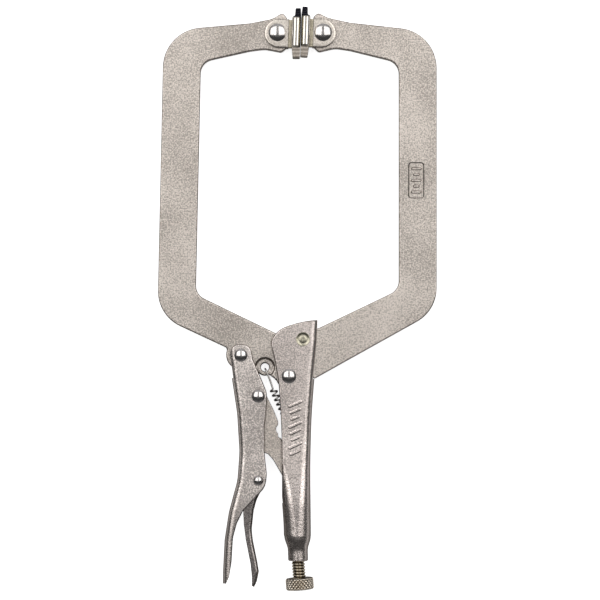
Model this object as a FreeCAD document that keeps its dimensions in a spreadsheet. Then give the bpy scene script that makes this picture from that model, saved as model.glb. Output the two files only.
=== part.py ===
import FreeCAD, Part
import os
import re
import Sketcher

# Large locking C-clamp pliers with swivel pads, lying flat on a bench.
# +X runs from the moving side to the fixed side, +Y from the handles to the pads,
# +Z up from the bench.  Every flat piece is symmetric about the plane Z = half_height.

DIMENSIONS = {
    # plate and sheet thicknesses, and the play between layers
    "half_height": 12.5,
    "arm_thick": 8.0,
    "side_play": 0.2,
    "handle_sheet": 2.5,
    "handle_bend": 5.2,
    "lever_sheet": 2.0,
    "lever_bend": 5.4,
    "lever_web": 3.0,
    "release_sheet": 1.6,
    "link_thick": 6.8,
    "pin_play": 0.05,
    # pivots
    "jaw_pivot_x": -6.7,
    "jaw_pivot_y": -60.8,
    "lever_pivot_x": -44.3,
    "lever_pivot_y": -44.3,
    "link_pivot_x": -30.7,
    "link_pivot_y": -76.4,
    "link_foot_x": -0.4,
    "link_foot_y": -150.1,
    "release_pivot_x": -30.7,
    "release_pivot_y": -142.3,
    "arm_rivet_x": 4.3,
    "arm_rivet_y": -31.8,
    "fixed_pad_x": 20.0,
    "fixed_pad_y": 208.1,
    "moving_pad_x": -15.7,
    "moving_pad_y": 208.0,
    # the C of each arm
    "arm_outer_x": 109.0,
    "arm_inner_x": 79.4,
    "arm_top_y": 208.6,
    "arm_inner_top_y": 184.6,
    "arm_inner_low_y": 6.85,
    "arm_outer_low_y": -9.65,
    "moving_inner_low_y": 2.7,
    "moving_outer_low_y": -14.5,
    "moving_inner_slope": 0.457,
    "moving_outer_slope": 0.44,
    "moving_head_lift": 1.2,
    "outer_top_bend": 31.5,
    "outer_low_bend": 30.0,
    "inner_bend": 11.0,
    "nose_bend": 3.0,
    "arm_lean": 1.25,
    "arm_shift": 1.7,
    "inner_slope": 0.4787,
    "outer_slope": 0.558,
    # rivets
    "jaw_pin_radius": 3.5,
    "jaw_dome_radius": 5.7,
    "lever_pin_radius": 3.0,
    "lever_dome_radius": 5.2,
    "release_pin_radius": 2.2,
    "release_dome_radius": 4.1,
    "pad_pin_radius": 4.0,
    "pad_dome_radius": 6.9,
    "dome_rise": 2.1,
    "flush_pin_radius": 3.5,
    "flush_head_radius": 5.5,
    "flush_head_depth": 2.0,
    # pads
    "fixed_pad_reach": 17.2,
    "moving_pad_reach": 18.15,
    "pad_block_deep": 7.0,
    "pad_block_half": 11.7,
    "pad_block_lift": 0.6,
    "pad_lean": 2.0,
    "pad_ear_radius": 11.3,
    "pad_ear_sheet": 2.5,
    "pad_flap_half_width": 9.0,
    # adjusting screw and its tube
    "screw_x": 0.45,
    "screw_y": -205.0,
    "screw_lean": 4.0,
    "neck_x": 0.5,
    "neck_lean": 1.5,
    "screw_radius": 5.3,
    "screw_tip_up": 48.6,
    "tube_bore_radius": 7.4,
    "tube_radius": 10.4,
    "neck_radius": 7.8,
    "knob_radius": 11.0,
    "knob_width": 9.0,
    "knob_down": 18.6,
    # spring
    "spring_radius": 3.2,
    "wire_radius": 0.8,
    "spring_hole_radius": 3.2,
    "recess_radius": 7.4,
    "recess_floor": 1.7,
}

doc = FreeCAD.newDocument("locking_clamp")
sheet = doc.addObject("Spreadsheet::Sheet", "Dims")
for row, (alias, amount) in enumerate(DIMENSIONS.items(), start=1):
    sheet.set("A%d" % row, alias)
    sheet.set("B%d" % row, str(amount))
    sheet.setAlias("B%d" % row, alias)
doc.recompute()

PIECES = []


def linked(expression):
    """The expression with each driving dimension named as the sheet's own."""
    def rename(match):
        word = match.group()
        return "Dims." + word if word in DIMENSIONS else word
    return re.sub(r"[a-z_]+", rename, str(expression))


def value(expression):
    """The number that an expression in driving dimensions comes to."""
    result = sheet.evalExpression(linked(expression))
    return float(getattr(result, "Value", result))


def drive(item, prop, expression):
    """Bind one property of an object to the driving dimensions."""
    item.setExpression(prop, linked(expression))


def new_body(label):
    """A body whose middle plane lies at half the height of the tool."""
    body = doc.addObject("PartDesign::Body", label)
    body.Label = label
    drive(body, "Placement.Base.z", "half_height")
    PIECES.append(body)
    return body


def origin_plane(body, role):
    """One of the body's own origin planes."""
    return [item for item in body.Origin.OriginFeatures if item.Role == role][0]


def new_sketch(body, name, role="XY_Plane", offset=(0, 0, 0), turn=0):
    """A sketch on an origin plane, moved by offset and turned in that plane."""
    sketch = body.newObject("Sketcher::SketchObject", name)
    sketch.AttachmentSupport = [(origin_plane(body, role), "")]
    sketch.MapMode = "FlatFace"
    for letter, amount in zip("xyz", offset):
        drive(sketch, "AttachmentOffset.Base." + letter, amount)
    if turn:
        sketch.AttachmentOffset = FreeCAD.Placement(
            sketch.AttachmentOffset.Base, FreeCAD.Rotation(FreeCAD.Vector(0, 0, 1), value(turn)))
        drive(sketch, "AttachmentOffset.Rotation.Angle", turn)
    return sketch


def fix_point(sketch, element, end, point):
    """Hold one end of a line or arc at a pair of expressions."""
    for kind, amount in zip(("DistanceX", "DistanceY"), point):
        row = sketch.addConstraint(Sketcher.Constraint(kind, -1, 1, element, end, value(amount)))
        drive(sketch, "Constraints[%d]" % row, amount)


def polygon(sketch, points):
    """A closed outline of straight sides through pairs of expressions."""
    spots = [FreeCAD.Vector(value(x), value(y), 0) for x, y in points]
    count = len(spots)
    for i in range(count):
        sketch.addGeometry(Part.LineSegment(spots[i], spots[(i + 1) % count]))
    for i in range(count):
        sketch.addConstraint(Sketcher.Constraint("Coincident", i, 2, (i + 1) % count, 1))
        fix_point(sketch, i, 1, points[i])


def circle(sketch, centre, radius):
    """A circle held by its centre and radius."""
    spot = FreeCAD.Vector(value(centre[0]), value(centre[1]), 0)
    row = sketch.addGeometry(Part.Circle(spot, FreeCAD.Vector(0, 0, 1), value(radius)))
    fix_point(sketch, row, 3, centre)
    rule = sketch.addConstraint(Sketcher.Constraint("Radius", row, value(radius)))
    drive(sketch, "Constraints[%d]" % rule, radius)


def pad(body, sketch, thickness):
    """A plate that grows equally to both sides of its sketch."""
    plate = body.newObject("PartDesign::Pad", sketch.Name + "_plate")
    plate.Profile = sketch
    plate.Midplane = True
    drive(plate, "Length", thickness)
    doc.recompute()
    return plate


def pocket(body, sketch, thickness):
    """A cut that runs equally to both sides of its sketch, and must remove something."""
    before = body.Shape.Volume
    cut = body.newObject("PartDesign::Pocket", sketch.Name + "_cut")
    cut.Profile = sketch
    cut.Midplane = True
    drive(cut, "Length", thickness)
    doc.recompute()
    if not body.Shape.Volume < before - 0.01:
        raise RuntimeError(sketch.Name + " removes nothing")
    return cut


def plate(body, name, points, thickness):
    """A flat plate with the given outline."""
    sketch = new_sketch(body, name)
    polygon(sketch, points)
    return pad(body, sketch, thickness)


def disc(body, name, centre, radius, thickness):
    """A round plate, added to the body."""
    sketch = new_sketch(body, name)
    circle(sketch, centre, radius)
    return pad(body, sketch, thickness)


def hole(body, name, centre, radius):
    """A round hole right through the body along Z."""
    sketch = new_sketch(body, name)
    circle(sketch, centre, radius)
    return pocket(body, sketch, "4 * half_height")


def cutout(body, name, points, thickness="4 * half_height"):
    """A straight-sided cut through the body along Z."""
    sketch = new_sketch(body, name)
    polygon(sketch, points)
    return pocket(body, sketch, thickness)


def edges_at(shape, points):
    """Names of the edges along Z that stand at the given corners."""
    spots = [(value(x), value(y)) for x, y in points]
    names = []
    for number, edge in enumerate(shape.Edges, start=1):
        ends = [vertex.Point for vertex in edge.Vertexes]
        if len(ends) < 2:
            continue
        for x, y in spots:
            if all(abs(end.x - x) < 0.01 and abs(end.y - y) < 0.01 for end in ends):
                names.append("Edge%d" % number)
    return names


def round_corners(body, radius, points):
    """Round the upright edges at some corners of the body's outline."""
    base = body.Tip
    names = edges_at(base.Shape, points)
    if len(names) < len(points):
        raise RuntimeError("%s: %d of %d corners found" % (body.Label, len(names), len(points)))
    fillet = body.newObject("PartDesign::Fillet", "round_%d" % len(body.Group))
    fillet.Base = (base, names)
    drive(fillet, "Radius", radius)
    doc.recompute()
    if fillet.State and "Invalid" in fillet.State:
        raise RuntimeError("%s: rounding of %s failed" % (body.Label, radius))
    return fillet


def bend_long_edges(body, path, reach, radius):
    """Round the upper and lower edges of a plate that run along one open path."""
    base = body.Tip
    spots = [FreeCAD.Vector(value(x), value(y), 0) for x, y in path]
    names = []
    for number, edge in enumerate(base.Shape.Edges, start=1):
        middle = edge.valueAt((edge.FirstParameter + edge.LastParameter) / 2)
        level = edge.BoundBox.ZLength < 0.01 and abs(abs(middle.z) - value(reach)) < 0.01
        flat = FreeCAD.Vector(middle.x, middle.y, 0)
        beside = [flat.distanceToLineSegment(a, b).Length < 1.0 for a, b in zip(spots, spots[1:])]
        if level and any(beside):
            names.append("Edge%d" % number)
    bend = body.newObject("PartDesign::Fillet", "long_bend")
    bend.Base = (base, names)
    drive(bend, "Radius", radius)
    doc.recompute()


def turned(body, name, profile, role="XZ_Plane", cut=False, offset=(0, 0, 0), turn=0):
    """A solid or a cut turned about the sketch's own vertical axis; profile is (radius, height)."""
    before = body.Shape.Volume if cut else 0
    sketch = new_sketch(body, name, role, offset, turn)
    polygon(sketch, profile)
    kind = "PartDesign::Groove" if cut else "PartDesign::Revolution"
    feature = body.newObject(kind, name + "_turned")
    feature.Profile = sketch
    feature.ReferenceAxis = (sketch, ["V_Axis"])
    feature.Angle = 360
    doc.recompute()
    if cut and not body.Shape.Volume < before - 0.01:
        raise RuntimeError(name + " removes nothing")
    return feature


# ---------------------------------------------------------------- shared positions

JAW_PIVOT = ("jaw_pivot_x", "jaw_pivot_y")
LEVER_PIVOT = ("lever_pivot_x", "lever_pivot_y")
LINK_PIVOT = ("link_pivot_x", "link_pivot_y")
LINK_FOOT = ("link_foot_x", "link_foot_y")
RELEASE_PIVOT = ("release_pivot_x", "release_pivot_y")
ARM_RIVET = ("arm_rivet_x", "arm_rivet_y")
SPRING_HOLE = ("-25.5", "-54")
CHANNEL_GAP = "arm_thick + 2 * side_play"


def arm_outline(tail, inner_low_y="arm_inner_low_y", outer_low_y="arm_outer_low_y", lift="0"):
    """The C of an arm from its nose round to the tail, whose own points close the outline."""
    nose_low = [("12.3", "197.0"), ("16.5", "192.7 + %s * 0.7" % lift), ("29.4", "195.8"), ("41.2", "194.0")]
    inner = [("arm_inner_x", "arm_inner_top_y"), ("arm_inner_x", inner_low_y)]
    outer = [("arm_outer_x", outer_low_y), ("arm_outer_x", "arm_top_y")]
    nose_top = [("41.2", "216.0"), ("24.0", "219.8"), ("15.8", "223.9 + %s" % lift), ("12.3", "220.0")]
    return nose_low + inner + tail + outer + nose_top


def round_arm(body, outline, place):
    """Round the bends of an arm whose own C is outline, set where place carries it."""
    corners = [place(*point) for point in outline]
    inner_top, inner_low, outer_low, outer_top = corners[4:8]
    round_corners(body, "outer_top_bend", [outer_top])
    round_corners(body, "outer_low_bend", [outer_low])
    round_corners(body, "inner_bend", [inner_top, inner_low])
    round_corners(body, "nose_bend", corners[:2] + corners[-2:])
    round_corners(body, "6 * nose_bend", [corners[2], corners[-3]])


def as_drawn(x, y):
    """The fixed arm's own place."""
    return (x, y)


def mirrored(x, y):
    """The moving arm's place: mirrored, and leaning about the jaw pivot."""
    across = "(-(%s) - arm_shift - jaw_pivot_x)" % x
    along = "((%s) - arm_shift * 0.7 - jaw_pivot_y)" % y
    return ("jaw_pivot_x + %s * cos(arm_lean) + %s * sin(arm_lean)" % (across, along),
            "jaw_pivot_y - %s * sin(arm_lean) + %s * cos(arm_lean)" % (across, along))


# ---------------------------------------------------------------- arms

def make_fixed_jaw_arm():
    """Fixed arm: a forged plate whose tang sits between the cheeks of the fixed handle."""
    body = new_body("fixed_jaw_arm")
    inner_end = ("17.0", "arm_inner_low_y - inner_slope * (arm_inner_x - 17.0)")
    outer_end = ("13.0", "arm_outer_low_y - outer_slope * (arm_outer_x - 13.0)")
    tang = [inner_end, ("12", "-25"), ("-2.5", "-25"), ("-4.0", "-29"), ("-4.0", "-37"), ("8.0", "-56"),
            outer_end]
    plate(body, "fixed_arm_outline", arm_outline(tang), "arm_thick")
    round_arm(body, arm_outline([]), as_drawn)
    round_corners(body, "nose_bend", [tang[3], tang[4]])
    hole(body, "fixed_arm_rivet_hole", ARM_RIVET, "flush_pin_radius + pin_play")
    hole(body, "fixed_arm_pad_hole", ("fixed_pad_x", "fixed_pad_y"), "pad_pin_radius + pin_play")


def make_moving_jaw_arm():
    """Moving arm: the mirrored C with an ear for the lever and a nose round the main pivot."""
    body = new_body("moving_jaw_arm")
    outline = arm_outline([], "moving_inner_low_y", "moving_outer_low_y", "moving_head_lift")
    inner_end = mirrored("20.0", "moving_inner_low_y - moving_inner_slope * (arm_inner_x - 20.0)")
    outer_end = mirrored("55.0", "moving_outer_low_y - moving_outer_slope * (arm_outer_x - 55.0)")
    foot = [inner_end, ("-14.5", "-28.5"), ("-8.5", "-42"), ("0.5", "-53.5"),
            ("-6.7", "-60.8"), ("-17.0", "-63.5"), ("-22.0", "-60"), ("-33", "-58"), ("-44.3", "-54"),
            outer_end]
    bend = [mirrored(*point) for point in outline]
    plate(body, "moving_arm_outline", bend[:6] + foot + bend[6:], "arm_thick")
    round_arm(body, outline, mirrored)
    disc(body, "jaw_nose", JAW_PIVOT, "10.4", "arm_thick")
    disc(body, "lever_ear", LEVER_PIVOT, "11.6", "arm_thick")
    disc(body, "spring_lug", SPRING_HOLE, "6.6", "arm_thick")
    hole(body, "jaw_pivot_hole", JAW_PIVOT, "jaw_pin_radius + pin_play")
    hole(body, "lever_pivot_hole", LEVER_PIVOT, "lever_pin_radius + pin_play")
    hole(body, "spring_hole", SPRING_HOLE, "spring_hole_radius")
    for side in ("1", "-1"):
        level = "(%s) * (arm_thick / 2 + recess_floor) / 2" % side
        name = "spring_recess_" + ("top" if side == "1" else "bottom")
        sketch = new_sketch(body, name, offset=(0, 0, level))
        circle(sketch, SPRING_HOLE, "recess_radius")
        pocket(body, sketch, "arm_thick / 2 - recess_floor")
    hole(body, "moving_arm_pad_hole", ("moving_pad_x", "moving_pad_y"), "pad_pin_radius + pin_play")


# ---------------------------------------------------------------- handles

def rounded_section(body, name, station, left, right, half_deep, radius):
    """A rounded rectangle across the handle at one station along it."""
    sketch = new_sketch(body, name, "XZ_Plane", (0, 0, "-(%s)" % station))
    x0, x1, z1, r = value(left), value(right), value(half_deep), value(radius)
    turn = FreeCAD.Vector(0, 0, 1)
    quarter = 1.5707963267948966
    corners = [(x1 - r, z1 - r, 0), (x0 + r, z1 - r, 1), (x0 + r, r - z1, 2), (x1 - r, r - z1, 3)]
    starts = [(x1, r - z1, x1, z1 - r), (x1 - r, z1, x0 + r, z1),
              (x0, z1 - r, x0, r - z1), (x0 + r, -z1, x1 - r, -z1)]
    for (cx, cz, step), (ax, az, bx, bz) in zip(corners, starts):
        sketch.addGeometry(Part.LineSegment(FreeCAD.Vector(ax, az, 0), FreeCAD.Vector(bx, bz, 0)))
        arc = Part.Circle(FreeCAD.Vector(cx, cz, 0), turn, r)
        sketch.addGeometry(Part.ArcOfCircle(arc, step * quarter, (step + 1) * quarter))
    for i in range(0, 8, 2):
        sketch.addConstraint(Sketcher.Constraint("Tangent", i, 2, i + 1, 1))
        sketch.addConstraint(Sketcher.Constraint("Tangent", i + 1, 2, (i + 2) % 8, 1))
    for i in (0, 4):
        sketch.addConstraint(Sketcher.Constraint("Vertical", i))
    for i in (2, 6):
        sketch.addConstraint(Sketcher.Constraint("Horizontal", i))
    for i in (3, 5, 7):
        sketch.addConstraint(Sketcher.Constraint("Equal", 1, i))
    sizes = [("DistanceX", 0, right), ("DistanceX", 4, left), ("DistanceY", 2, half_deep)]
    for kind, element, amount in sizes:
        row = sketch.addConstraint(Sketcher.Constraint(kind, -1, 1, element, 1, value(amount)))
        drive(sketch, "Constraints[%d]" % row, amount)
    row = sketch.addConstraint(Sketcher.Constraint("DistanceY", 6, 1, -1, 1, value(half_deep)))
    drive(sketch, "Constraints[%d]" % row, half_deep)
    row = sketch.addConstraint(Sketcher.Constraint("Radius", 1, value(radius)))
    drive(sketch, "Constraints[%d]" % row, radius)
    return sketch


def make_fixed_handle():
    """Fixed handle: a folded channel that closes into the tube that carries the screw."""
    body = new_body("fixed_handle")
    cheek = "arm_thick / 2 + side_play + handle_sheet"
    stations = [("-14", "-32", "16.8", cheek, "handle_bend"), ("-31", "-32", "16.1", cheek, "handle_bend"),
                ("-62", "-32", "13.3", cheek, "handle_bend"), ("-103", "-26", "10.7", cheek, "handle_bend"),
                ("-138", "-15", "10.0", "tube_radius - 1.6", "6.5"),
                ("-163", "-11.9", "10.3", "tube_radius", "9.0"),
                ("-187", "-10.6", "10.5", "tube_radius", "10.2")]
    sections = [rounded_section(body, "grip_section_%d" % number, *station)
                for number, station in enumerate(stations)]
    grip = body.newObject("PartDesign::AdditiveLoft", "grip")
    grip.Profile = sections[0]
    grip.Sections = sections[1:]
    grip.Ruled = True
    doc.recompute()
    # shoulder and threaded neck, on the leaning screw axis
    turned(body, "neck", [("0", "0"), ("neck_radius", "0"), ("neck_radius", "8.5"), ("tube_radius", "18.5"),
                          ("tube_radius", "26"), ("0", "26")],
           "XY_Plane", offset=("neck_x", "screw_y", 0), turn="neck_lean")
    # the curved end and the open edge of the cheeks
    edge = [("-22.5", "-26.5"), ("-14.5", "-71.7"), ("-12.2", "-115"), ("-12.1", "-160")]
    cutout(body, "handle_edge", [("40", "5"), ("40", "-10.6")] + edge + [("-60", "-160"), ("-60", "5")])
    round_corners(body, "13", [edge[0]])
    round_corners(body, "200", [edge[1], edge[2]])
    # the inside of the channel, open towards the lever
    web = [("16.8 - handle_sheet", "-10"), ("16.1 - handle_sheet", "-31"), ("13.3 - handle_sheet", "-62"),
           ("10.7 - handle_sheet", "-103"), ("10.0 - handle_sheet", "-138"), ("9.9 - handle_sheet", "-157.5"),
           ("-4", "-160.5"), ("-40", "-160.5"), ("-40", "-10")]
    cutout(body, "channel", web, CHANNEL_GAP)
    # the slot in the web that the fixed arm comes out of
    cutout(body, "arm_slot", [("5", "-5"), ("40", "-5"), ("40", "-63.2"), ("5", "-63.2")], CHANNEL_GAP)
    # tube bore and threaded neck
    turned(body, "bore", [("0", "-5"), ("screw_radius + pin_play", "-5"), ("screw_radius + pin_play", "14"),
                          ("tube_bore_radius", "18"), ("tube_bore_radius", "52"), ("0", "52")],
           "XY_Plane", cut=True, offset=("screw_x", "screw_y", 0), turn="screw_lean")
    hole(body, "handle_pivot_hole", JAW_PIVOT, "jaw_pin_radius + pin_play")
    hole(body, "handle_arm_hole", ARM_RIVET, "flush_pin_radius + pin_play")
    for side in ("1", "-1"):
        face = "(%s) * (%s)" % (side, cheek)
        inner = "(%s) * (%s - flush_head_depth)" % (side, cheek)
        turned(body, "countersink_" + ("top" if side == "1" else "bottom"),
               [("0", inner), ("flush_pin_radius + pin_play", inner),
                ("flush_head_radius + pin_play", face), ("0", face)],
               cut=True, offset=("arm_rivet_x", 0, "-arm_rivet_y"))
    # hole in the web that the spring hooks into
    cutout(body, "spring_slot", [("3", "-123.4"), ("3", "-120.0"), ("20", "-120.0"), ("20", "-123.4")], "3")


def make_lever_handle():
    """Lever handle: a curved channel, open towards the fixed handle, with two ears at its top."""
    body = new_body("lever_handle")
    left = [("-58.4", "-213"), ("-57.2", "-189.3"), ("-53.9", "-167.4"), ("-47.1", "-142.3"),
            ("-45.5", "-120"), ("-47.4", "-89.8"), ("-51.7", "-61")]
    ear = [("-50.9", "-57.5"), ("-52.9", "-44"), ("-51.6", "-35.8"), ("-37.2", "-35.8"), ("-35.0", "-47.6")]
    right = [("-29.4", "-60.8"), ("-24.2", "-73.5"), ("-24.0", "-81"), ("-25.9", "-100"), ("-25.9", "-122"),
             ("-23.9", "-139"), ("-25.5", "-148"), ("-42.5", "-166"), ("-47.4", "-176"), ("-50.7", "-188"),
             ("-51.8", "-207"), ("-53.6", "-218"), ("-56.0", "-223.2"), ("-58.5", "-223.2")]
    plate(body, "lever_outline", left + ear + right, "arm_thick + 2 * side_play + 2 * lever_sheet")
    round_corners(body, "7", [ear[2], ear[3]])
    round_corners(body, "60", [left[2], left[4]])
    round_corners(body, "40", [left[3]])
    round_corners(body, "12", [right[1], right[6], right[7], right[8]])
    round_corners(body, "60", [right[3], right[4]])
    round_corners(body, "25", [right[5], right[9]])
    bend_long_edges(body, left, "arm_thick / 2 + side_play + lever_sheet", "lever_bend")
    inside = [("%s + lever_web" % x, y) for x, y in left[:-1]] + [("-51.7 + lever_web", "-62.5")]
    around = [("0", "-230"), ("-55.0", "-230")] + inside + [("-70", "-62.0"), ("-70", "-25"), ("0", "-25")]
    cutout(body, "lever_channel", around, CHANNEL_GAP)
    hole(body, "ear_hole", LEVER_PIVOT, "lever_pin_radius + pin_play")
    hole(body, "link_hole", LINK_PIVOT, "lever_pin_radius + pin_play")
    hole(body, "release_hole", RELEASE_PIVOT, "release_pin_radius + pin_play")


def make_release_lever():
    """Release lever: a small channel nested in the lever handle, its tail between the handles."""
    body = new_body("release_lever")
    right = [("-25.2", "-141"), ("-27.2", "-148"), ("-32.1", "-158"), ("-34.4", "-166.5"),
             ("-35.9", "-181.5"), ("-34.9", "-190"), ("-31.6", "-206"), ("-30.3", "-214"),
             ("-31.8", "-221.5"), ("-33.9", "-226")]
    left = [("-35.8", "-225"), ("-35.7", "-218"), ("-36.7", "-208"), ("-40.4", "-189.3"), ("-42.0", "-177"),
            ("-42.6", "-165"), ("-40.5", "-153"), ("-36.7", "-143"), ("-34.5", "-130"), ("-30.5", "-123.6"),
            ("-27.6", "-126")]
    plate(body, "release_outline", right + left, "arm_thick - 2 * side_play")
    round_corners(body, "1.2", [left[-1], left[-2]])
    round_corners(body, "20", [right[2], right[4], right[5], left[3], left[5], left[6]])
    round_corners(body, "2.5", [right[7]])
    hollow = [("-33.5", "-226.5"), ("-33.4", "-220"), ("-32.5", "-214"), ("-33.6", "-206"),
              ("-36.7", "-190"), ("-37.6", "-181.5"), ("-36.1", "-166.5"), ("-33.6", "-158"),
              ("-30.5", "-150"), ("-32", "-147.5"), ("-60", "-147.5"), ("-60", "-226.5")]
    cutout(body, "release_channel", hollow, "arm_thick - 2 * side_play - 2 * release_sheet")
    hole(body, "release_pin_hole", RELEASE_PIVOT, "release_pin_radius + pin_play")


def make_toggle_link():
    """Toggle link: from the lever down to the tip of the adjusting screw."""
    body = new_body("toggle_link")
    right = [("-24.2", "-76.4"), ("-18.4", "-88.2"), ("-15.2", "-96.5"), ("-15.2", "-108.6"),
             ("-12.9", "-109.8"), ("3.2", "-146")]
    left = [("-4.8", "-147.5"), ("-12.2", "-138.4"), ("-19.0", "-126.5"), ("-23.1", "-121.9"),
            ("-26.5", "-120.7"), ("-29", "-112"), ("-35.5", "-81")]
    plate(body, "link_outline", right + left, "link_thick")
    round_corners(body, "10", [left[2]])
    round_corners(body, "1.5", [left[4], right[2]])
    disc(body, "link_head", LINK_PIVOT, "6.6", "link_thick")
    disc(body, "link_foot", LINK_FOOT, "4.6", "link_thick")
    hole(body, "link_notch", ("-12.2", "-102.6"), "4.6")
    hole(body, "link_pin_hole", LINK_PIVOT, "lever_pin_radius + pin_play")


# ---------------------------------------------------------------- adjusting screw and spring

def place_on_screw(body):
    """Stand a turned piece on the leaning axis of the adjusting screw."""
    body.Placement = FreeCAD.Placement(FreeCAD.Vector(0, 0, 0),
                                       FreeCAD.Rotation(FreeCAD.Vector(0, 0, 1), value("screw_lean")))
    drive(body, "Placement.Base.x", "screw_x")
    drive(body, "Placement.Base.y", "screw_y")
    drive(body, "Placement.Base.z", "half_height")
    drive(body, "Placement.Rotation.Angle", "screw_lean")


def make_adjusting_screw():
    """Threaded shank; its rounded tip faces the foot of the toggle link."""
    body = new_body("adjusting_screw")
    place_on_screw(body)
    top = "screw_tip_up"
    low = "-(knob_down - knob_width / 2)"
    turned(body, "shank", [("0", low), ("screw_radius", low), ("screw_radius", top + " - 2"),
                           ("screw_radius - 2", top), ("0", top)], "XY_Plane")


def make_screw_knob():
    """Knurled knob with a small collar, pressed on the end of the screw."""
    body = new_body("screw_knob")
    place_on_screw(body)
    top = "-(knob_down - knob_width / 2)"
    low = "-(knob_down + knob_width / 2)"
    edge = "0.9"
    face = "knob_radius - " + edge
    turned(body, "knob", [("0", low), (face, low), ("knob_radius", "%s + %s" % (low, edge)),
                          ("knob_radius", "%s - %s" % (top, edge)), (face, top), ("0", top)], "XY_Plane")


def make_tension_spring():
    """Spring that pulls the jaw open: the envelope of its coils, with a hook at each end."""
    level = value("half_height")
    wire = value("wire_radius")
    over = value("recess_floor + wire_radius + 0.1")
    hole_x, hole_y = (value(part) for part in SPRING_HOLE)
    coil_top = FreeCAD.Vector(-18.0, -71.0, level)
    coil_end = FreeCAD.Vector(0.6, -112.0, level)
    below = FreeCAD.Vector(hole_x, hole_y - 1.2, level - over)
    above = FreeCAD.Vector(hole_x, hole_y - 1.2, level + over)
    hook = [below, above, FreeCAD.Vector(-21.8, -62.0, level + over), coil_top]
    tail = [coil_end, FreeCAD.Vector(4.0, -121.7, level), FreeCAD.Vector(9.4, -121.7, level)]
    solids = []
    for run in (hook, tail):
        for start, end in zip(run, run[1:]):
            solids.append(Part.makeCylinder(wire, (end - start).Length, start, end - start))
        solids.extend(Part.makeSphere(wire, point) for point in run)
    body_run = coil_end - coil_top
    solids.append(Part.makeCylinder(value("spring_radius"), body_run.Length, coil_top, body_run))
    spring = doc.addObject("Part::Feature", "tension_spring")
    spring.Label = "tension_spring"
    spring.Shape = solids[0].multiFuse(solids[1:]).removeSplitter()
    spring.Placement = FreeCAD.Placement()
    PIECES.append(spring)


# ---------------------------------------------------------------- pads

def make_pad(label, x, y, reach, facing):
    """Swivel pad: rounded face block with two flaps, and two ears that straddle the arm."""
    body = new_body(label)
    turn = "180 - pad_lean" if facing < 0 else "-pad_lean"
    body.Placement = FreeCAD.Placement(FreeCAD.Vector(0, 0, 0),
                                       FreeCAD.Rotation(FreeCAD.Vector(0, 0, 1), value(turn)))
    drive(body, "Placement.Base.x", x)
    drive(body, "Placement.Base.y", y)
    drive(body, "Placement.Base.z", "half_height")
    drive(body, "Placement.Rotation.Angle", turn)
    back = "(%s - pad_block_deep)" % reach

    def up(height):
        """A height above the rivet, in the pad's own direction."""
        return "%d * (%s)" % (facing, height)

    def block(name, near, far, low, high, wide):
        """A straight-sided part of the pad, from near to far of the rivet."""
        corners = [(near, up(low)), (far, up(low)), (far, up(high)), (near, up(high))]
        plate(body, label + name, corners, wide)
        return corners

    top, bottom = "pad_block_lift + pad_block_half", "pad_block_lift - pad_block_half"
    corners = block("_block", back, reach, bottom, top, "2 * half_height")
    round_corners(body, "2.2", [corners[0], corners[3]])
    # the long edges of the block are bent round
    bend = "pad_block_deep / 2 - 0.4"
    for side in (back, reach):
        bend_long_edges(body, [(side, up(bottom)), (side, up(top))], "half_height", bend)
    block("_upper_flap", reach + " - 4.2", reach, "10", "20.0", "2 * pad_flap_half_width")
    block("_lower_flap", reach + " - 5.0", reach + " - 0.4", "-20.4", "-10", "2 * pad_flap_half_width")
    ears_wide = "arm_thick + 2 * side_play + 2 * pad_ear_sheet"
    middle = "-0.6"
    ear_low, ear_high = middle + " - pad_ear_radius", middle + " + pad_ear_radius"
    block("_ears", "1.3", reach + " - 4", ear_low, ear_high, ears_wide)
    disc(body, label + "_ear_ends", ("1.3", up(middle)), "pad_ear_radius", ears_wide)
    cutout(body, label + "_gap", [("-30", "-30"), (back, "-30"), (back, "30"), ("-30", "30")], CHANNEL_GAP)
    hole(body, label + "_hole", ("0", "0"), "pad_pin_radius + pin_play")


# ---------------------------------------------------------------- rivets

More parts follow.
